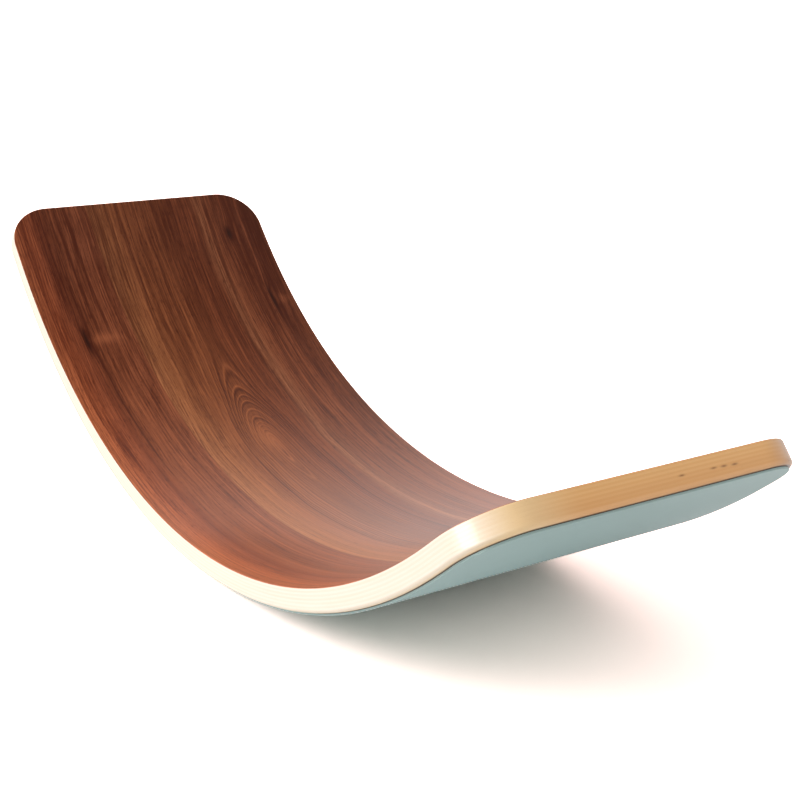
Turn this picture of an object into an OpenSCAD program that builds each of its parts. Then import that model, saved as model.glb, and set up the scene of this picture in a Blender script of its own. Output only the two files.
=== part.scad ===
// Curvy balance board: beech plies and a walnut face veneer, glued over each other in a curved
// mould, with a linoleum sheet on its own paper glued underneath. It rocks on that sheet.
// X runs along the board, Y across it and Z up. The origin is on the floor under the middle.
// A depth is measured from the upper face, square to it, so each layer starts where the last ends.

/* [Board] */
// Length from tip to tip, measured level
board_len = 900; // [700:5:1100]
// Width across the board
board_w = 300; // [200:5:400]
// Radius that the upper face is pressed to
bend_r = 573; // [560:1:900]
// Flat stretch beyond the bend at each end
flat_len = 60; // [58:1:120]
// Radius of the four corners, seen square to the board
corner_r = 46; // [20:1:56]

/* [Wood] */
// Thickness of the walnut face veneer
face_t = 0.6; // [0.5:0.1:1.4]
// Number of beech plies, odd so that the outer two have the same grain
core_plies = 13; // [7:2:19]
// Thickness of each beech ply
ply_t = 1.5; // [1:0.1:2.4]

/* [Edges] */
// Round along the upper edge, where hands hold it
upper_round = 1.5; // [0.8:0.1:3]
// Round along the lower edge of the wood
lower_round = 4; // [2:0.5:6]

/* [Underlay] */
// Thickness of the linoleum sheet
lino_t = 1.6; // [1:0.1:4]
// Thickness of the paper that the linoleum is made on
paper_t = 0.4; // [0.2:0.1:1]
// Strip of bare wood left between the lower round and the linoleum
lino_margin = 0.5; // [0.2:0.1:5]
// How far the paper's edge lies inside the linoleum's
paper_setback = 0.3; // [0.1:0.1:2]

/* [Hidden] */
// Arcs are drawn in steps of at most this angle and this length
$fa = 1;
$fs = 0.4;
// Steps in a full turn of the bend, whose radius is so large that they are set apart
bend_steps = 240;

wood_t = face_t + core_plies * ply_t;
board_t = wood_t + paper_t + lino_t;
floor_r = bend_r + board_t;

lino_inset = lower_round + lino_margin;
paper_inset = lino_inset + paper_setback;

// The angle that puts a point at half the board's length from the middle. The point lies at radius
// r from the bend's axis and goes along the flat stretch, and a round there reaches out beyond it.
function angle_out(r, along, beyond) =
    asin((board_len / 2 - beyond) / norm([r, along])) - atan2(along, r);
// The bend turns through this angle on each side. Either the lower round or, on a steeper board,
// the linoleum's edge sticks out furthest at the tips.
end_angle = min(angle_out(bend_r + wood_t - lower_round, flat_len - lower_round, lower_round),
                angle_out(floor_r, flat_len - lino_inset, 0));

// From the middle of the board to the axes of its corners, across it
corner_y = board_w / 2 - corner_r;
// From the end of the bend to the axes of the corners, along the flat stretch
corner_x = flat_len - corner_r;

PLY_NAMES = [for (i = [1 : core_plies]) str("core_ply_", i < 10 ? "0" : "", i)];

// What rounding an edge takes away, for a round centred on the origin whose edge points to +X +Y
module round_waste(r) {
    difference() {
        square(r + 1);
        circle(r);
    }
}

// What the two rounds take away along an edge. Its X runs outwards from the corner axis and its Y
// is minus the depth.
module edge_waste() {
    translate([corner_r - upper_round, -upper_round]) round_waste(upper_round);
    translate([corner_r - lower_round, lower_round - wood_t]) mirror([0, 1]) round_waste(lower_round);
}

// A layer's cross-section outwards from the corner axis, stopping short of the edge by inset
module edge_section(depth, thick, inset) {
    difference() {
        translate([0, -depth - thick]) square([corner_r - inset, thick]);
        edge_waste();
    }
}

// The whole cross-section of a layer, from one long edge to the other
module section(depth, thick, inset) {
    difference() {
        translate([inset - board_w / 2, -depth - thick]) square([board_w - 2 * inset, thick]);
        for (side = [0, 1]) mirror([side, 0]) translate([corner_y, 0]) edge_waste();
    }
}

// The flat end of a layer, with its two corners. Its X runs from the end of the bend to the tip.
module flat_end(depth, thick, inset) {
    rotate([90, 0, 90]) linear_extrude(corner_x) section(depth, thick, inset);
    translate([corner_x, 0, 0]) {
        rotate([90, 0, 0]) linear_extrude(2 * corner_y, center = true)
            edge_section(depth, thick, inset);
        for (side = [0, 1]) mirror([0, side, 0]) translate([0, corner_y, 0])
            rotate_extrude(angle = 90, start = 0) edge_section(depth, thick, inset);
    }
}

// A layer from the middle of the board to one tip. Its bend and its flat end are drawn together,
// with the flat end level and the bend running back from it by a quarter turn. Then both turn up by
// the angle of the bend, and what has passed the middle is cut off.
module half_layer(depth, thick, inset) {
    difference() {
        rotate([0, -end_angle, 0]) {
            rotate([-90, 90, 0]) rotate_extrude(angle = 90, start = 0, $fn = bend_steps)
                translate([bend_r, 0]) rotate(90) section(depth, thick, inset);
            translate([0, 0, -bend_r]) flat_end(depth, thick, inset);
        }
        translate([-2, -1, -2] * floor_r) cube([2, 2, 4] * floor_r);
    }
}

// One layer of the board, from tip to tip
module layer(depth, thick, inset = 0) {
    translate([0, 0, floor_r])
        for (side = [0, 1]) mirror([side, 0, 0]) half_layer(depth, thick, inset);
}

module walnut_face() {
    color([0.42, 0.24, 0.16]) layer(0, face_t);
}

// Plies are counted from the top. The odd ones have their grain along the board.
module core_ply(i) {
    color(i % 2 == 1 ? [0.90, 0.77, 0.58] : [0.82, 0.66, 0.47]) layer(face_t + (i - 1) * ply_t, ply_t);
}

module underlay_paper() {
    color([0.24, 0.20, 0.17]) layer(wood_t, paper_t, paper_inset);
}

module underlay() {
    color([0.62, 0.71, 0.70]) layer(wood_t + paper_t, lino_t, lino_inset);
}

walnut_face();
for (i = [1 : core_plies])
    core_ply(i);
underlay_paper();
underlay();
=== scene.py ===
# %% [markdown]
# # A curved balance board
#
# The real board is a stack of thin sheets. A walnut veneer, thirteen beech plies, a dark paper and
# a sheet of linoleum are glued together in a curved mould, and the edges are rounded afterwards.
# This lesson builds it in the same order: flat sheets first, then the bend, then the finishes.
#
# The CAD model is loaded first. It is the frame that everything here has to fit.

import math

import bmesh
import bpy
from mathutils import Matrix, Vector


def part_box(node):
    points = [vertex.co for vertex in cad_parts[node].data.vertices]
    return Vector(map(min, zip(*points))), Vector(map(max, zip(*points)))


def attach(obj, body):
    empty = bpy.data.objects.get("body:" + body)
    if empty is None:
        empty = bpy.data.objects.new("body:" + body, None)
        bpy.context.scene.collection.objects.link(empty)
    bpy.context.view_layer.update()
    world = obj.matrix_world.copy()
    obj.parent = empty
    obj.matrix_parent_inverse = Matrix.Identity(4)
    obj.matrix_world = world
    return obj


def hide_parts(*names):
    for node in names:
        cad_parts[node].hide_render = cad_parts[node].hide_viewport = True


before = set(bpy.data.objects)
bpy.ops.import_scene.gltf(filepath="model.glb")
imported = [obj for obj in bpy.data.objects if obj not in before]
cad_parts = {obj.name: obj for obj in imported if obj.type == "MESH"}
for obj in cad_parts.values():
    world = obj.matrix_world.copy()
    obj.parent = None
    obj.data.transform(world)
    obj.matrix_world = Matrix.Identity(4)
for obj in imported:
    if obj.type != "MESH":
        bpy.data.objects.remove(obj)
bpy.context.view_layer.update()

# %% [markdown]
# ## Sizes
#
# A bent board is easiest to think of unrolled. Along the upper face it is a level sheet, and every
# layer lies at its own depth below that face. The sizes are in metres, and MM turns them into
# millimetres. The last line compares them with the frame, so that a wrong one shows at once.

# %% Sizes of the board and of its layers
MM = 1000.0
BOARD_LEN = 0.900
WIDTH = 0.300
BEND_R = 0.573
FLAT_LEN = 0.060
CORNER_R = 0.046
FACE_T = 0.0006
PLY_T = 0.0015
PLIES = 13
PAPER_T = 0.0004
LINO_T = 0.0016
UPPER_ROUND = 0.0015
LOWER_ROUND = 0.004
LINO_INSET = 0.0045
PAPER_INSET = 0.0048

WOOD_T = FACE_T + PLIES * PLY_T
BOARD_T = WOOD_T + PAPER_T + LINO_T
FLOOR_R = BEND_R + BOARD_T
ROUND_R = BEND_R + WOOD_T - LOWER_ROUND
ROUND_ALONG = FLAT_LEN - LOWER_ROUND
END_ANGLE = math.asin((BOARD_LEN / 2 - LOWER_ROUND) / math.hypot(ROUND_R, ROUND_ALONG))
END_ANGLE -= math.atan2(ROUND_ALONG, ROUND_R)
BEND_HALF = BEND_R * END_ANGLE
SHEET_HALF = BEND_HALF + FLAT_LEN

node_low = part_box("walnut_face")[0].z
own_low = BOARD_T - FACE_T
print("bend turns up by", round(math.degrees(END_ANGLE), 2), "degrees at each end")
print("unrolled, the upper face is", round(2 * SHEET_HALF, 4), "m long")
print("walnut's lowest point in the frame", round(node_low, 4), "and here", round(own_low, 4))

# %% [markdown]
# ## The blank
#
# Rounding fourteen sheets one by one would leave steps between them. On the real board the edges
# are shaped once, when all the wood is one thick blank, so the blank is made first: a block whose
# four corners, upper rim and lower rim are beveled. The plies are sliced out of it afterwards, and
# each gets exactly its own part of the round.

# %% A block with rounded corners, and the blank
CORNER_STEPS = 24
UPPER_STEPS = 6
LOWER_STEPS = 10
TINY = 1e-6


def slab(depth, thick, inset):
    """A level block with rounded corners, its upper face at a depth below the board's."""
    bm = bmesh.new()
    size = Matrix.Diagonal((2 * (SHEET_HALF - inset), WIDTH - 2 * inset, thick, 1))
    place = Matrix.Translation((0, 0, -depth - thick / 2))
    bmesh.ops.create_cube(bm, size=1, matrix=place @ size)
    uprights = [e for e in bm.edges if abs(e.verts[0].co.z - e.verts[1].co.z) > TINY]
    bevel(bm, uprights, CORNER_R - inset, CORNER_STEPS)
    return bm


def bevel(bm, edges, width, steps):
    """Rounds edges with an arc."""
    bmesh.ops.bevel(
        bm,
        geom=edges,
        offset=width,
        offset_type="OFFSET",
        segments=steps,
        profile=0.5,
        affect="EDGES",
        material=-1,
    )


def rim(bm, height):
    """The edges that lie level at a height."""
    return [e for e in bm.edges if all(abs(v.co.z - height) < TINY for v in e.verts)]


blank = slab(0, WOOD_T, 0)
bevel(blank, rim(blank, 0), UPPER_ROUND, UPPER_STEPS)
bevel(blank, rim(blank, -WOOD_T), LOWER_ROUND, LOWER_STEPS)
print("blank:", len(blank.verts), "vertices,", len(blank.faces), "faces")

# %% [markdown]
# ## Slicing and bending
#
# Two level cuts free a ply from the blank, and each cut is closed with one face. Then many cuts
# across give the sheet something to bend at. The bend itself is a formula on each vertex: its place
# along the sheet becomes an angle, and its depth adds to the radius. A Simple Deform modifier could
# bend too, but the ends of this board stay flat, and a formula keeps both exact.
#
# Before it is bent, every vertex stores its flat place in an attribute. The wood's grain is drawn
# on that, so that it runs round the bend as it does in a real veneer.

# %% Slices, cuts across and the bend
BEND_STEPS = 96


def whole(bm):
    return bm.verts[:] + bm.edges[:] + bm.faces[:]


def trim(bm, height, side):
    """Cuts off what lies above (side 1) or below (side -1) a height, and closes the cut."""
    cut = bmesh.ops.bisect_plane(
        bm, geom=whole(bm), plane_co=(0, 0, height), plane_no=(0, 0, side), clear_outer=True
    )
    loop = [part for part in cut["geom_cut"] if isinstance(part, bmesh.types.BMEdge)]
    bmesh.ops.holes_fill(bm, edges=loop, sides=0)


def slice_of_blank(depth, thick):
    """One sheet of wood between two depths of the blank."""
    bm = blank.copy()
    if depth > TINY:
        trim(bm, -depth, 1)
    if depth + thick < WOOD_T - TINY:
        trim(bm, -depth - thick, -1)
    return bm


def cut_across(bm):
    """Cuts the sheet across at even steps along the bend, and where its flat ends start."""
    for step in range(BEND_STEPS + 1):
        along = BEND_HALF * (2 * step / BEND_STEPS - 1)
        bmesh.ops.bisect_plane(bm, geom=whole(bm), plane_co=(along, 0, 0), plane_no=(1, 0, 0))


def bent(point):
    """Where a point of the flat sheet lies once the board is bent and stands on the floor."""
    turn = max(-END_ANGLE, min(END_ANGLE, point.x / BEND_R))
    straight = point.x - BEND_R * turn
    radius = BEND_R - point.z
    x = radius * math.sin(turn) + straight * math.cos(turn)
    z = FLOOR_R - radius * math.cos(turn) + straight * math.sin(turn)
    return Vector((x, point.y, z))


def bend(bm):
    """Stores each vertex's flat place, then bends the sheet."""
    cut_across(bm)
    flat_place = bm.verts.layers.float_vector.new("flat_place")
    for v in bm.verts:
        v[flat_place] = v.co
        v.co = bent(v.co)


print("a step of the bend is", round(2 * BEND_HALF / BEND_STEPS * MM, 2), "mm long")

# %% [markdown]
# ## From a bent sheet to a piece
#
# A piece needs smooth shading round its bend and its corners, and sharp edges where a cut face
# meets an edge. Smooth shading alone would let the narrow rounds tilt the light over the whole wide
# face, so a Weighted Normal modifier lets the large faces decide.

# %% Finish a piece
SHARP_ANGLE = math.radians(40)
FACE_WEIGHT = 100


def put(name, data):
    """An object in the scene that holds a mesh, a lamp or a camera."""
    thing = bpy.data.objects.new(name, data)
    bpy.context.scene.collection.objects.link(thing)
    return thing


def piece_from(bm, name, node):
    """Turns a bent sheet into an object that stands for a CAD node."""
    bmesh.ops.remove_doubles(bm, verts=bm.verts[:], dist=TINY)
    bmesh.ops.recalc_face_normals(bm, faces=bm.faces[:])
    for e in bm.edges:
        e.smooth = e.calc_face_angle(0) < SHARP_ANGLE
    for f in bm.faces:
        f.smooth = True
    mesh = bpy.data.meshes.new(name)
    bm.to_mesh(mesh)
    bm.free()
    piece = put(name, mesh)
    weighted = piece.modifiers.new("large faces decide", "WEIGHTED_NORMAL")
    weighted.keep_sharp = True
    weighted.weight = FACE_WEIGHT
    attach(piece, "root")
    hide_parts(node)
    return piece


# %% [markdown]
# ## The wooden layers
#
# The walnut veneer is the uppermost slice, and the beech plies follow below it. Beech plies take
# turns: the grain of the odd ones runs along the board and that of the even ones across it, which
# is what keeps plywood from warping. They are the same shape with two finishes.

# %% Walnut veneer and beech plies
sheet = slice_of_blank(0, FACE_T)
bend(sheet)
veneer = piece_from(sheet, "walnut_veneer", "walnut_face")
print(veneer.name, len(veneer.data.polygons), "faces")

plies = []
for number in range(1, PLIES + 1):
    sheet = slice_of_blank(FACE_T + (number - 1) * PLY_T, PLY_T)
    bend(sheet)
    plies.append(piece_from(sheet, f"beech_ply_{number:02d}", f"core_ply_{number:02d}"))
print(len(plies), "plies,", sum(len(ply.data.polygons) for ply in plies), "faces in all")

# %% [markdown]
# ## The lining
#
# Linoleum comes on a thin dark paper. Both are cut a little smaller than the board, so a strip of
# bare beech shows around them. The paper is set back from the linoleum's edge, and that gap is the
# dark line that one sees between wood and lining. The linoleum's own lower edge is cut with a
# knife and eased with sandpaper, so it gets a very small round.

# %% Paper and linoleum
LINO_EASE = 0.0003
LINO_EASE_STEPS = 3

sheet = slab(WOOD_T, PAPER_T, PAPER_INSET)
bend(sheet)
paper = piece_from(sheet, "lining_paper", "underlay_paper")

sheet = slab(WOOD_T + PAPER_T, LINO_T, LINO_INSET)
bevel(sheet, rim(sheet, -BOARD_T), LINO_EASE, LINO_EASE_STEPS)
bend(sheet)
lining = piece_from(sheet, "lining_linoleum", "underlay")
blank.free()
for piece in (paper, lining):
    print(piece.name, len(piece.data.polygons), "faces")

# %% [markdown]
# ## Writing materials as sums
#
# A wood is a lot of small sums: where am I across the grain, how far from the last ring, is this a
# pore. Wiring Math nodes one by one hides what they say. This class wraps a socket, so that a plain
# Python expression on sockets adds the Math nodes, and one method adds any other node.


# %% A socket that can be reckoned with
class Wire:
    """A socket in a material. Sums of wires add Math nodes."""

    def __init__(self, tree, socket=None):
        self.tree = tree
        self.socket = socket

    def add(self, kind, settings=None, inputs=None, output=0):
        """Adds a node, sets it up, then fills its sockets, and returns one of its outputs."""
        node = self.tree.nodes.new(kind)
        for name, value in (settings or {}).items():
            if name == "stops":
                set_stops(node.color_ramp, value)
            else:
                setattr(node, name, value)
        for key, value in (inputs or {}).items():
            if isinstance(value, Wire):
                self.tree.links.new(value.socket, node.inputs[key])
            else:
                node.inputs[key].default_value = value
        return Wire(self.tree, node.outputs[output] if node.outputs else None)

    def math(self, operation, *values):
        return self.add("ShaderNodeMath", {"operation": operation}, dict(enumerate(values)))

    def __add__(self, other):
        return self.math("ADD", self, other)

    __radd__ = __add__

    def __sub__(self, other):
        return self.math("SUBTRACT", self, other)

    def __rsub__(self, other):
        return self.math("SUBTRACT", other, self)

    def __mul__(self, other):
        return self.math("MULTIPLY", self, other)

    __rmul__ = __mul__

    def __truediv__(self, other):
        return self.math("DIVIDE", self, other)

    def __pow__(self, other):
        return self.math("POWER", self, other)

    def __abs__(self):
        return self.math("ABSOLUTE", self)

    def __neg__(self):
        return self.math("MULTIPLY", self, -1)


def set_stops(ramp, stops):
    """Gives a colour ramp its stops, as pairs of place and colour."""
    while len(ramp.elements) < len(stops):
        ramp.elements.new(1)
    for element, (place, colour) in zip(ramp.elements, stops):
        element.position = place
        element.color = (*colour, 1)


print("materials can be written as sums")

# %% [markdown]
# ## Small tools for patterns
#
# These few are used by every finish below: a smooth step, a soft bump around zero, a noise that is
# stretched along the grain, and a mix of two colours. A Mix node has sockets for numbers, vectors
# and colours, and the four numbers below pick out its factor and its colours.

# %% Steps, bumps, noises and mixes
MIX_FACTOR, MIX_FIRST, MIX_SECOND, MIX_RESULT = 0, 6, 7, 2


def rise(value, low, high):
    """0 below low, 1 above high and smooth between them. With low above high it falls instead."""
    inputs = {"Value": value, "From Min": low, "From Max": high}
    return value.add("ShaderNodeMapRange", {"interpolation_type": "SMOOTHSTEP"}, inputs)


def bump_at(distance):
    """A soft bump: 1 at distance 0, and nearly 0 from distance 2 on."""
    fall = -(distance * distance)
    return fall.math("EXPONENT", fall)


def noise(place, grain, detail=2.0, roughness=0.5):
    """Noise from 0 to 1. Its grain has a length along each of the three parts of the place."""
    parts = [part / length for part, length in zip(place, grain)]
    spot = place[0].add("ShaderNodeCombineXYZ", None, dict(enumerate(parts)))
    inputs = {"Vector": spot, "Scale": 1.0, "Detail": detail, "Roughness": roughness}
    return spot.add("ShaderNodeTexNoise", None, inputs)


def swing(place, grain, detail=2.0, roughness=0.5):
    """Noise around 0, from -0.5 to 0.5."""
    return noise(place, grain, detail, roughness) - 0.5


def mix(share, first, second, blend="MIX"):
    """Two colours mixed, or blended in another way."""
    settings = {"data_type": "RGBA", "blend_type": blend}
    inputs = {MIX_FACTOR: share, MIX_FIRST: first, MIX_SECOND: second}
    wire = next(part for part in inputs.values() if isinstance(part, Wire))
    return wire.add("ShaderNodeMix", settings, inputs, output=MIX_RESULT)


def srgb(red, green, blue):
    """A colour as a picture program shows it, 0 to 255, as Blender's linear colour."""
    parts = [c / 255 for c in (red, green, blue)]
    return (*(c / 12.92 if c < 0.04045 else ((c + 0.055) / 1.055) ** 2.4 for c in parts), 1.0)


print("srgb(186, 140, 99) is", [round(c, 3) for c in srgb(186, 140, 99)])

# %% [markdown]
# ## Small tools for materials
#
# Every finish is made in the same way. An empty material comes first. Then the place on the flat
# sheet is read from the attribute that the bend left behind, and patterns drawn on it are fed to
# the surface and to its bump. A lacquer is the same all over, so it is set on the surface itself.

# %% Materials, places and what they feed


def new_material(name):
    """An empty material: its surface node, and a wire to add nodes from."""
    material = bpy.data.materials.new(name)
    material.use_nodes = True
    return material, material.node_tree.nodes["Principled BSDF"], Wire(material.node_tree)


def lacquer(surface, weight, roughness):
    """A clear coat over a finish."""
    surface.inputs["Coat Weight"].default_value = weight
    surface.inputs["Coat Roughness"].default_value = roughness


def parts_of(vector):
    """The three parts of a vector, each on a wire of its own."""
    outputs = vector.add("ShaderNodeSeparateXYZ", None, {0: vector}).socket.node.outputs
    return [Wire(vector.tree, part) for part in outputs]


def flat_place(wire):
    """Along the board, across it and down into it, in millimetres on the flat sheet."""
    place = wire.add("ShaderNodeAttribute", {"attribute_name": "flat_place"}, output="Vector")
    along, across, height = (part * MM for part in parts_of(place))
    return along, across, -height


def feed(surface, key, wire):
    surface.id_data.links.new(wire.socket, surface.inputs[key])


def bump_from(surface, height, strength, depth):
    """Feeds a Bump node from a height between 0 and 1 that stands for a real depth in metres."""
    inputs = {"Height": height, "Strength": strength, "Distance": depth}
    feed(surface, "Normal", height.add("ShaderNodeBump", None, inputs, output="Normal"))


print("the tip of the sheet is read as", round(SHEET_HALF * MM, 1), "mm along")

# %% [markdown]
# ## Walnut: the figure
#
# A flat-cut veneer shows growth rings as nested arches. Seen from the trunk's heart, a ring is a
# tube, and the knife's level cut passes the heart at a depth that changes along the board. A ring
# shows where the distance across and that depth together make its radius. One square root gives
# the whole figure: a small closed eye where the cut comes nearest to the heart, arches that point
# away from it, and lines that grow straight near the edges.
#
# All places on the veneer are in millimetres from the middle of the flat sheet. Left, where a
# place along is negative, is the end that the photograph shows further away.

# %% Growth rings of the walnut
EYE_ALONG = -110.0
LEFT_DEPTH = 30.0
LEFT_REACH = 68.0
RIGHT_DEPTH = 7.0
RIGHT_REACH = 60.0
CUT_CURVE = 1.5


def beyond(distance):
    """The distance where it is positive, and 0 elsewhere."""
    return distance.math("MAXIMUM", distance, 0.0)


def cut_depth(distance, depth, reach):
    """How deep the heart lies under the cut, at a distance from the eye."""
    share = (beyond(distance) / reach) ** CUT_CURVE
    return (1.0 - share.math("EXPONENT", -share)) * depth


def ring_radius(along, aside):
    """The radius of the growth ring, in millimetres, at a distance aside from the heart."""
    left = cut_depth(EYE_ALONG - along, LEFT_DEPTH, LEFT_REACH)
    right = cut_depth(along - EYE_ALONG, RIGHT_DEPTH, RIGHT_REACH)
    depth = left + right
    return (aside * aside + depth * depth) ** 0.5


print("the heart lies", LEFT_DEPTH, "mm deep to the left of the eye,", RIGHT_DEPTH, "to the right")

# %% [markdown]
# ## Walnut: bands and knots
#
# The broad colours change across the board, as the rings of one summer or another come to the
# surface. A colour ramp over the width holds them, from the orange near edge over a tan stripe at
# the joint to the dark far edge. The rings, the fibres and the pores then darken or lighten what
# the ramp gives, so that one set of patterns serves every colour.
#
# Three bud marks sit near the left end. Each is a dark fleck that the grain runs round, and two of
# them have a pale patch beside them, where the fibres turn up. A third pale patch lies on the eye.
# Each mark is given by its place along and across, and by its length and width.

# %% Bands, knots and pale patches of the walnut
HALF_WIDTH = WIDTH / 2 * MM
BANDS = [
    (-150.0, (174, 92, 51)),
    (-133.0, (166, 84, 45)),
    (-122.0, (146, 73, 40)),
    (-116.0, (120, 56, 28)),
    (-104.0, (136, 70, 38)),
    (-80.0, (144, 76, 43)),
    (-58.5, (146, 78, 45)),
    (-57.5, (158, 94, 54)),
    (-44.0, (152, 88, 48)),
    (-20.0, (146, 80, 42)),
    (18.0, (136, 72, 37)),
    (45.0, (126, 63, 32)),
    (66.0, (128, 65, 34)),
    (75.0, (153, 90, 55)),
    (86.0, (136, 73, 41)),
    (98.0, (128, 66, 36)),
    (112.0, (138, 73, 41)),
    (127.0, (128, 66, 37)),
    (150.0, (132, 70, 40)),
]
KNOTS = [
    (-315.0, -112.5, 15.0, 2.3),
    (-338.0, 123.0, 18.0, 2.0),
    (-438.0, 104.0, 9.0, 3.6),
]
PALE_PATCHES = [
    (-315.0, -94.0, 7.0, 16.0),
    (-338.0, 134.0, 8.0, 8.0),
    (-122.0, 14.0, 24.0, 10.0),
]


def spots(x, y, places, grow=1.0):
    """1 at each of a list of places, fading out both ways by each one's own two lengths."""
    total = 0.0
    for at_x, at_y, length, width in places:
        aside_x = (x - at_x) / (length * grow)
        aside_y = (y - at_y) / (width * grow)
        total = bump_at((aside_x * aside_x + aside_y * aside_y) ** 0.5) + total
    return total


def ramp_over(value, low, high, stops):
    """A colour ramp over a range of a value, with its stops given in that value's own measure."""
    share = (value - low) / (high - low)
    places = [((place - low) / (high - low), srgb(*colour)[:3]) for place, colour in stops]
    return value.add("ShaderNodeValToRGB", {"stops": places}, {0: share})


print(len(BANDS), "bands of colour,", len(KNOTS), "knots")

# %% [markdown]
# ## Walnut: places in the grain
#
# Slow noise makes the rings wander and faster noise makes them shiver. Both move the place at which
# the rings are read, so that a line stays one line. The grain bulges where it runs round a knot,
# and the heart drifts across the board on its way to the left end.
#
# The veneer is joined from two leaves. Below the joint, towards the near edge, the lines are
# straight. They are counted from a place far outside the board, where no ring would be small.

# %% Places in the walnut's grain
WANDER = 9.0
WANDER_GRAIN = (190.0, 60.0, 50.0)
SHIVER = 1.6
SHIVER_GRAIN = (50.0, 12.0, 10.0)
HEART_ACROSS = 17.5
HEART_DRIFT = 0.04
KNOT_REACH = 2.0
KNOT_PUSH = 4.0
JOINT_ACROSS = -58.0
JOINT_BLUR = 0.5
STRAIGHT_WANDER = 6.0
STRAIGHT_FROM = 400.0

walnut, surface, wire = new_material("walnut")
along, across, down = flat_place(wire)
wander = swing((along, across, down), WANDER_GRAIN)
shiver = swing((along, across, down), SHIVER_GRAIN)
bulge = spots(along, across, KNOTS, KNOT_REACH) * KNOT_PUSH
heart = beyond(EYE_ALONG - along) * HEART_DRIFT + HEART_ACROSS
aside = across + wander * WANDER + shiver * SHIVER - heart
radius = ring_radius(along, aside)
below_joint = rise(across, JOINT_ACROSS + JOINT_BLUR, JOINT_ACROSS - JOINT_BLUR)
straight = across + wander * STRAIGHT_WANDER + STRAIGHT_FROM
layer = radius * (1.0 - below_joint) + straight * below_joint + bulge
grain = aside + bulge
print("at the eye the heart lies", HEART_ACROSS, "mm across, and the joint", JOINT_ACROSS)

# %% [markdown]
# ## Walnut: rings, lines, fibres and pores
#
# Each ring is a dark line with a pale one outside it, and both are strongest near the heart. Finer
# lines run with the rings, and broad ones change the tone slowly. The fibres follow the grain
# instead. Straight over the heart a ring's radius hardly changes from side to side, and fibres that
# were read on it would melt into blots. Pores are short dark dashes.

# %% Rings, lines, fibres and pores of the walnut
RING = 2.7
UNEVEN = 5.0
UNEVEN_GRAIN = (9.0, 600.0, 50.0)
DARK_LINE_AT = 0.60
DARK_LINE_WIDTH = 0.16
DARK_LINE = 0.42
PALE_LINE_AT = 0.88
PALE_LINE_WIDTH = 0.10
PALE_LINE = 0.75
NEAR_HEART = (46.0, 26.0)
RINGS_NEAR_HEART = 0.75
RINGS_ANYWHERE = 0.22
LINE_GRAIN = (3.2, 700.0, 40.0)
FIBRE_GRAIN = (1.3, 60.0, 2.0)
BROAD_GRAIN = (14.0, 260.0, 60.0)
PORE_GRAIN = (9.0, 1.1, 1.0)
PORE_FROM = (0.54, 0.68)

uneven = swing((layer, along, down), UNEVEN_GRAIN, detail=1.0)
turns = (layer + uneven * UNEVEN) / RING
phase = turns.math("FRACT", turns)
dark_line = bump_at((phase - DARK_LINE_AT) / DARK_LINE_WIDTH)
pale_line = bump_at((phase - PALE_LINE_AT) / PALE_LINE_WIDTH)
near_heart = rise(radius, *NEAR_HEART) * (1.0 - below_joint)
rings = pale_line * PALE_LINE - dark_line * DARK_LINE
rings = rings * (near_heart * RINGS_NEAR_HEART + RINGS_ANYWHERE)
lines = swing((layer, along, down), LINE_GRAIN, detail=4.0, roughness=0.65)
fibres = swing((grain, along, down), FIBRE_GRAIN, detail=3.0, roughness=0.65)
broad = swing((layer, along, down), BROAD_GRAIN)
pores = rise(noise((along, across, down), PORE_GRAIN), *PORE_FROM)
print("rings are", RING, "mm apart, and fibres", FIBRE_GRAIN[0], "mm")

# %% [markdown]
# ## Walnut: calm parts and the tan stripe
#
# The figure is not equally strong everywhere. On both sides of the eye, the band over the heart is
# calm, and its rings and lines fade. Fine patterns are softer in a wide band along the middle, and
# softer again in the right part. A tan stripe lies along the joint and widens to the right. Two
# numbers in brackets are where a change starts and where it is complete.

# %% Calm parts and the tan stripe of the walnut
CALM_LEFT = (-215.0, -290.0)
CALM_RIGHT = (-80.0, -10.0)
CALM_WIDTH = 16.0
SOFT_ACROSS = 15.0
SOFT_WIDTH = 50.0
SOFT_ALONG = (-360.0, -260.0)
SOFTER_ALONG = (-120.0, 60.0)
SOFT = 0.3
SOFTER = 0.4
STRIPE_ALONG = (-300.0, -200.0)
STRIPE_EDGE = 1.5
STRIPE_WIDTH = 14.0
STRIPE_FADE = 5.0
WIDENS_FROM = -250.0
WIDENS = 0.07

calm = (rise(along, *CALM_LEFT) + rise(along, *CALM_RIGHT)) * bump_at(aside / CALM_WIDTH)
soft = rise(along, *SOFT_ALONG) * bump_at((across - SOFT_ACROSS) / SOFT_WIDTH)
crisp = (1.0 - SOFT * soft) * (1.0 - SOFTER * rise(along, *SOFTER_ALONG))
stripe_top = beyond(along - WIDENS_FROM) * WIDENS + JOINT_ACROSS + STRIPE_WIDTH
stripe = rise(across, JOINT_ACROSS, JOINT_ACROSS + STRIPE_EDGE)
stripe = stripe * rise(across - stripe_top, STRIPE_FADE, -STRIPE_FADE) * rise(along, *STRIPE_ALONG)
print("the tan stripe is", STRIPE_WIDTH, "mm wide at its left end")
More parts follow.
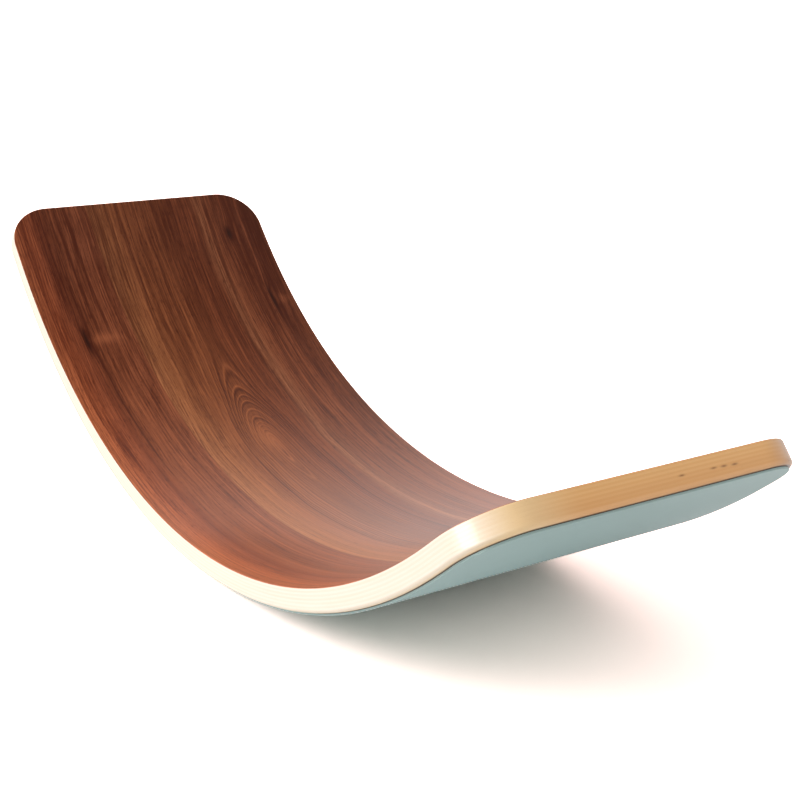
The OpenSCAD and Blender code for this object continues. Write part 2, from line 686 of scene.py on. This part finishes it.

# %% [markdown]
# ## Walnut: the tone
#
# Every pattern adds to one number, the tone. It is darker towards the left end, most of all in the
# far corner there. The darkening of the whole end is partly the veneer's own tone and partly
# painted shade, for the arm that turns away from the window. It is lighter in the right part,
# partly by the veneer's own tone and partly by painted light where the window falls on the board.
# It is lighter along a streak by the near edge, and on the far edge.

# %% Tone of the walnut
MEAN_TONE = 0.43
RING_TONE = 0.6
LINE_TONE = 1.5
FIBRE_TONE = 1.6
PORE_TONE = 0.24
BROAD_TONE = 0.7
PATCH_TONE = 0.42
STRIPE_TONE = 0.16
KNOT_TONE = 0.5
CALM_RINGS = 0.9
CALM_LINES = 0.7
LEFT_END = (-150.0, -480.0)
# Partly the veneer's own tone and partly painted shade, for the arm that turns away from the
# window.
LEFT_TONE_AND_SHADE = 0.2
FAR_CORNER = (80.0, 135.0)
FAR_CORNER_TONE = 0.2
RIGHT_PART = (-200.0, 60.0)
# Partly the veneer's own tone and partly painted light, where the window falls on the board.
RIGHT_TONE_AND_LIGHT = 0.16
STREAK_ACROSS = -110.0
STREAK_WIDTH = 14.0
STREAK_TONE = 0.25
FAR_EDGE = (108.0, 122.0)
FAR_EDGE_ALONG = (-100.0, 250.0)
FAR_EDGE_TONE = 0.2

knots = spots(along, across, KNOTS)
patches = spots(along, across, PALE_PATCHES)
rings = rings * (1.0 - CALM_RINGS * calm)
lines = lines * (1.0 - CALM_LINES * calm)
fine = LINE_TONE * lines + FIBRE_TONE * fibres - PORE_TONE * pores
tone = MEAN_TONE + RING_TONE * rings + fine * crisp + BROAD_TONE * broad
tone = tone + PATCH_TONE * patches + STRIPE_TONE * stripe - KNOT_TONE * knots
far_corner = FAR_CORNER_TONE * rise(across, *FAR_CORNER)
# Darker towards the left end, partly as painted shade, and more in the far corner.
tone = tone - rise(along, *LEFT_END) * (LEFT_TONE_AND_SHADE + far_corner)
streak = STREAK_TONE * bump_at((across - STREAK_ACROSS) / STREAK_WIDTH)
# Lighter in the right part, partly as painted light, and along the streak.
tone = tone + rise(along, *RIGHT_PART) * (RIGHT_TONE_AND_LIGHT + streak)
tone = tone + FAR_EDGE_TONE * rise(across, *FAR_EDGE) * rise(along, *FAR_EDGE_ALONG)
print("a plain place in the walnut has tone", MEAN_TONE)

# %% [markdown]
# ## Walnut: colour and finish
#
# The tone picks a tint between a dark and a light one, and the tint multiplies the colour of the
# band. The bands wander with the grain, but never over the joint, which stays a sharp line between
# the two leaves. The knots' dark cores come last. The finish is an oiled satin: a thin, smooth coat
# over a rougher ground, with the pores a little sunk.

# %% Walnut's material
BAND_WANDER = 16.0
BAND_SHIVER = 3.0
JOINT_MARGIN = 1.0
TONES = (-0.15, 1.15)
DARKEST = (0.34, 0.22, 0.14, 1)
LIGHTEST = (1.68, 1.85, 2.1, 1)
KNOT_CORE = srgb(44, 18, 9)
CORE_SHARE = 0.85
WALNUT_ROUGH = 0.42
FIBRE_ROUGH = 0.2
PORES_SUNK = 0.6

band_place = across + wander * BAND_WANDER + shiver * BAND_SHIVER
above = band_place.math("MAXIMUM", band_place, JOINT_ACROSS + JOINT_MARGIN)
below = across.math("MINIMUM", across, JOINT_ACROSS - JOINT_MARGIN)
band_place = above * (1.0 - below_joint) + below * below_joint
bands = ramp_over(band_place, -HALF_WIDTH, HALF_WIDTH, BANDS)
tint = mix(rise(tone, *TONES), DARKEST, LIGHTEST)
colour = mix(1.0, bands, tint, "MULTIPLY")
feed(surface, "Base Color", mix(knots * CORE_SHARE, colour, KNOT_CORE))
feed(surface, "Roughness", WALNUT_ROUGH + FIBRE_ROUGH * fibres)
bump_from(surface, fibres - PORES_SUNK * pores, strength=0.25, depth=0.0002)
lacquer(surface, weight=0.4, roughness=0.22)
veneer.data.materials.append(walnut)
print("walnut has", len(walnut.node_tree.nodes), "nodes")

# %% [markdown]
# ## Beech: colours of the edges
#
# Only the edges of the plies show. Cut along its grain, beech is pale, with short brown flecks. Cut
# across, it shows the ends of its fibres, which soak up lacquer and turn a darker tan. So each ply
# looks different on the long edge and on the short one, and its neighbour does the opposite. Each
# edge has two pairs of a darker and a lighter colour: one for a ply whose grain runs along that
# edge, and one for a ply that is cut across. Both pairs of the long edges are nearly white. This is
# partly the pale beech and partly painted light: the window's bleaching is put into the colour of
# both long edges.
#
# The photographed end is not one even tan. It is pale at the corner next to the window, which is a
# painted highlight. It is browner at the other corner, which is painted shade where the end turns
# away from the light. It is also browner towards the lining, and has four small brown specks. A
# speck is given by its place across, its depth, its length and its height.

# %% Colours, patches and specks of the beech
# Partly pale beech and partly painted light: the window's bleaching, put into both long edges.
LONG_EDGE_BEECH_AND_LIGHT = [
    (srgb(242, 226, 208), srgb(248, 238, 224)),
    (srgb(238, 219, 197), srgb(244, 231, 214)),
]
END_EDGE = [
    (srgb(246, 188, 122), srgb(248, 193, 129)),
    (srgb(240, 178, 110), srgb(243, 184, 117)),
]
BROWN_BELOW, BELOW_SHARE, BELOW_DOWN = srgb(222, 154, 92), 0.5, (3.0, 16.0)
# A painted highlight on the end, at its corner next to the window.
PAINTED_CORNER_HIGHLIGHT, PAINTED_HIGHLIGHT_SHARE, PAINTED_HIGHLIGHT_ACROSS = srgb(254, 220, 168), 0.9, (-60.0, -125.0)
# Painted shade on the end, at its far corner, which turns away from the light.
PAINTED_CORNER_SHADE, CORNER_SHADE_SHARE, CORNER_SHADE_ACROSS = srgb(168, 106, 56), 0.75, (96.0, 136.0)
CORNER_SHADE_ALONG = (430.0, 460.0)
FLECK, FLECK_SHARE = srgb(196, 146, 100), 0.15
BLOTCH, BLOTCH_SHARE = srgb(236, 190, 134), 0.2
SPECK, SPECK_SHARE = srgb(128, 66, 26), 0.75
SPECK_ALONG = (400.0, 420.0)
SPECKS = [
    (20.0, 10.5, 2.4, 0.7),
    (49.5, 10.9, 2.6, 0.7),
    (59.0, 11.3, 2.7, 0.8),
    (69.0, 11.8, 2.7, 0.8),
]
# Darker in the lowest tenths of a millimetre, next to the lining.
BOTTOM_DARK, BOTTOM_DARK_SHARE = srgb(92, 58, 38), 0.7
BOTTOM_DARK_DOWN = (WOOD_T * MM - 0.3, WOOD_T * MM - 0.1)
print(len(SPECKS), "specks, and a darkened line", round(BOTTOM_DARK_DOWN[0], 2), "mm down")

# %% [markdown]
# ## Beech: the material
#
# The surface's own direction says which edge a point is on, so one function makes both finishes.
# The noise is squeezed to a third of a millimetre in depth and drawn out along the grain, which
# gives the fine lines of a planed edge. The lowest tenths of a millimetre, next to the lining, are
# made darker.

# %% Beech, for grain along the board and across it
BEECH_LINES = (30.0, 0.35, 300.0)
BEECH_FLECKS = (3.0, 0.3, 60.0)
FLECK_FROM = (0.62, 0.7)
BEECH_BLOTCHES = (60.0, 60.0, 3.0)
LONG_EDGE_FACES = (0.25, 0.95)
END_FACES = (1.0, 0.7)
BEECH_ROUGH = 0.4
LINE_ROUGH = 0.1


def beech(name, grain_along):
    """Beech for the plies whose grain runs along the board, or for those with it across."""
    material, surface, wire = new_material(name)
    along, across, down = flat_place(wire)
    normal = wire.add("ShaderNodeNewGeometry", output="Normal")
    sideways = abs(parts_of(normal)[1])
    run = (along if grain_along else across, down, along + across)
    lines = noise(run, BEECH_LINES, detail=3.0, roughness=0.6)
    flecks = rise(noise(run, BEECH_FLECKS, detail=1.0), *FLECK_FROM)
    blotches = noise((along, across, down), BEECH_BLOTCHES)

    end_edge = mix(lines, *END_EDGE[grain_along])
    end_edge = mix(rise(down, *BELOW_DOWN) * BELOW_SHARE, end_edge, BROWN_BELOW)
    # Painted highlight at the end's corner next to the window.
    end_edge = mix(rise(across, *PAINTED_HIGHLIGHT_ACROSS) * PAINTED_HIGHLIGHT_SHARE, end_edge, PAINTED_CORNER_HIGHLIGHT)
    # The long edges' near white is partly painted light.
    long_edge_beech_and_light = mix(lines, *LONG_EDGE_BEECH_AND_LIGHT[not grain_along])
    colour = mix(rise(sideways, *LONG_EDGE_FACES), end_edge, long_edge_beech_and_light)

    # Painted shade at the end's far corner.
    shaded_corner = rise(across, *CORNER_SHADE_ACROSS) * rise(along, *CORNER_SHADE_ALONG) * rise(sideways, *END_FACES)
    specks = spots(across, down, SPECKS) * rise(along, *SPECK_ALONG)
    colour = mix(shaded_corner * CORNER_SHADE_SHARE, colour, PAINTED_CORNER_SHADE)
    colour = mix(flecks * FLECK_SHARE, colour, FLECK)
    colour = mix(blotches * BLOTCH_SHARE, colour, BLOTCH)
    colour = mix(specks * SPECK_SHARE, colour, SPECK)
    # Darker in the lowest tenths of a millimetre, next to the lining.
    colour = mix(rise(down, *BOTTOM_DARK_DOWN) * BOTTOM_DARK_SHARE, colour, BOTTOM_DARK)
    feed(surface, "Base Color", colour)
    feed(surface, "Roughness", BEECH_ROUGH + LINE_ROUGH * lines)
    bump_from(surface, lines, strength=0.2, depth=0.0001)
    lacquer(surface, weight=0.5, roughness=0.16)
    return material


finishes = [beech("beech_along", True), beech("beech_across", False)]
for number, ply in enumerate(plies):
    ply.data.materials.append(finishes[number % 2])
print("beech has", len(finishes[0].node_tree.nodes), "nodes")

# %% [markdown]
# ## Linoleum
#
# Linoleum is linseed oil, cork dust and chalk rolled into a sheet. It is one soft colour with a
# faint, fine mottle, and a low satin sheen. A fine noise makes the mottle, and a coarse one a
# marbling that hardly shows.

# %% Linoleum
MOTTLE_GRAIN = (1.2, 1.2, 1.2)
MOTTLE = (srgb(158, 181, 178), srgb(170, 192, 189))
MARBLING_GRAIN = (40.0, 25.0, 30.0)
MARBLING, MARBLING_SHARE = srgb(152, 176, 173), 0.3
LINO_ROUGH = 0.38
MOTTLE_ROUGH = 0.1

linoleum, surface, wire = new_material("linoleum")
place = flat_place(wire)
mottle = noise(place, MOTTLE_GRAIN, detail=3.0, roughness=0.6)
marbling = noise(place, MARBLING_GRAIN)
colour = mix(marbling * MARBLING_SHARE, mix(mottle, *MOTTLE), MARBLING)
feed(surface, "Base Color", colour)
feed(surface, "Roughness", LINO_ROUGH + MOTTLE_ROUGH * mottle)
bump_from(surface, mottle, strength=0.2, depth=0.0001)
lining.data.materials.append(linoleum)
print("linoleum has", len(linoleum.node_tree.nodes), "nodes")

# %% [markdown]
# ## The linoleum's paper
#
# The paper is nearly black, soaked with resin and quite matte. It shows its fibres only from close
# by, so one noise, drawn out along the board, is enough.

# %% Lining paper
FUZZ_GRAIN = (1.5, 0.4, 0.4)
FUZZ = (srgb(44, 36, 30), srgb(74, 62, 52))
PAPER_ROUGH = 0.8

paper_finish, surface, wire = new_material("lining_paper")
surface.inputs["Roughness"].default_value = PAPER_ROUGH
fuzz = noise(flat_place(wire), FUZZ_GRAIN, detail=3.0, roughness=0.6)
feed(surface, "Base Color", mix(fuzz, *FUZZ))
bump_from(surface, fuzz, strength=0.3, depth=0.0001)
paper.data.materials.append(paper_finish)
print("paper has", len(paper_finish.node_tree.nodes), "nodes")

# %% [markdown]
# ## The floor
#
# The photograph is exposed so brightly that the floor turns white even where the board takes away
# half of its light. Only the camera should see it like that: brighter lamps would bleach the board
# too. So the floor has two colours, a plain white one that lights the board from below, and a
# brighter, slightly warm one for camera rays.

# %% Floor
FLOOR_SIZE = 60.0
FLOOR_COLOUR = (1.0, 1.0, 1.0, 1)
FLOOR_SEEN = (2.75, 2.2, 2.06, 1)

floor_shape = bmesh.new()
bmesh.ops.create_grid(floor_shape, x_segments=1, y_segments=1, size=FLOOR_SIZE / 2)
floor_mesh = bpy.data.meshes.new("floor")
floor_shape.to_mesh(floor_mesh)
floor_shape.free()
floor = put("floor", floor_mesh)

floor_finish, _, wire = new_material("floor")
seen = wire.add("ShaderNodeLightPath", output="Is Camera Ray")
plain = wire.add("ShaderNodeBsdfDiffuse", None, {"Color": FLOOR_COLOUR})
bright = wire.add("ShaderNodeBsdfDiffuse", None, {"Color": FLOOR_SEEN})
blend = wire.add("ShaderNodeMixShader", None, {0: seen, 1: plain, 2: bright})
feed(floor_finish.node_tree.nodes["Material Output"], "Surface", blend)
floor.data.materials.append(floor_finish)
print("floor is", FLOOR_SIZE, "m wide")

# %% [markdown]
# ## The room
#
# The world is the rest of the room. It adds a little light from above, and the camera sees it as
# plain white. Mirror rays see more in it: walls that are white up to eye level, which give the
# lacquer its sheen where it is seen at a low angle, and a window, which makes the highlight on the
# rounded corner. The upward part of a ray's direction runs from 0 at the horizon to 1 overhead.

# %% The room
ROOM_LOW = (0.015, 0.012, 0.010, 1)
ROOM_HIGH = (0.40, 0.40, 0.40, 1)
ROOM_SEEN = (1, 1, 1, 1)
HIGH_UP = (0.4, 0.9)
WALLS_UP = (0.9, 0.3)
WALLS = 1.2
WINDOW_TOWARDS = Vector((-0.14, -0.98, 0.14))
WINDOW_EDGE = (math.cos(math.radians(26)), math.cos(math.radians(14)))
WINDOW = 9.0

world = bpy.data.worlds.new("soft_room")
bpy.context.scene.world = world
world.use_nodes = True
wire = Wire(world.node_tree)
towards = wire.add("ShaderNodeTexCoord", output="Generated")
up = parts_of(towards)[2]
seen = wire.add("ShaderNodeLightPath", output="Is Camera Ray")
mirrored = wire.add("ShaderNodeLightPath", output="Is Glossy Ray")
facing_window = wire.add(
    "ShaderNodeVectorMath",
    {"operation": "DOT_PRODUCT"},
    {0: towards, 1: WINDOW_TOWARDS.normalized()},
    output="Value",
)
shine = rise(up, *WALLS_UP) * WALLS + rise(facing_window, *WINDOW_EDGE) * WINDOW
shine = wire.add("ShaderNodeCombineColor", None, {0: shine, 1: shine, 2: shine})
lit = mix(rise(up, *HIGH_UP), ROOM_LOW, ROOM_HIGH)
colour = mix(seen, mix(mirrored, lit, shine), ROOM_SEEN)
room = wire.add("ShaderNodeBackground", None, {"Color": colour, "Strength": 1.0})
feed(world.node_tree.nodes["World Output"], "Surface", room)
print("the room adds", ROOM_HIGH[0], "from above")

# %% [markdown]
# ## The lamps
#
# Both lamps are Suns with a wide angle, so they are as strong at the far end of the board as at the
# near one. The stronger one is a big window on the near side. The other is the light that comes off
# a wall and the ceiling beyond the near tip, which fills in the end of the board. Both are hidden
# from mirror rays, because a lamp this strong would burn a white patch into the lacquer.

# %% Lamps
WINDOW_LIGHT_FROM = Vector((-0.50, -0.78, 0.50))
WALL_LIGHT_FROM = Vector((0.45, -0.12, 0.85))


def sun(name, comes_from, degrees, strength):
    """A Sun that shines from a direction and looks as wide as an angle."""
    data = bpy.data.lights.new(name, "SUN")
    data.angle = math.radians(degrees)
    data.energy = strength
    lamp = put(name, data)
    lamp.rotation_euler = (-comes_from).to_track_quat("-Z", "Y").to_euler()
    lamp.visible_glossy = False
    return lamp


lamps = [
    sun("window_light", WINDOW_LIGHT_FROM, degrees=34, strength=2.75),
    sun("wall_light", WALL_LIGHT_FROM, degrees=60, strength=1.15),
]
print("lamps:", [(lamp.name, round(lamp.data.energy, 2)) for lamp in lamps])

# %% [markdown]
# ## The camera
#
# The camera stands where the photograph's did, which was found by fitting the board's outline. It
# looks down along the board from beyond the near tip, and is turned a few degrees about its own
# line of sight. The Standard view transform shows a colour as it is written.

# %% Camera
CAMERA_AT = Vector((1.0340, -0.6082, 0.5682))
AIMED_AT = Vector((-0.0125, 0.1001, 0.1000))
CAMERA_ROLL = math.radians(2.738)
LENS_MM = 61.46
SENSOR_MM = 36.0
SEES_TO = 100.0

camera_data = bpy.data.cameras.new("camera")
camera_data.sensor_width = SENSOR_MM
camera_data.sensor_fit = "HORIZONTAL"
camera_data.lens = LENS_MM
camera_data.clip_end = SEES_TO
camera = put("camera", camera_data)
look = (AIMED_AT - CAMERA_AT).to_track_quat("-Z", "Y").to_matrix()
turned = look @ Matrix.Rotation(CAMERA_ROLL, 3, "Z")
camera.matrix_world = Matrix.Translation(CAMERA_AT) @ turned.to_4x4()
bpy.context.scene.camera = camera
bpy.context.scene.view_settings.view_transform = "Standard"
print("camera is", round(CAMERA_AT.length, 3), "m from the middle of the board")
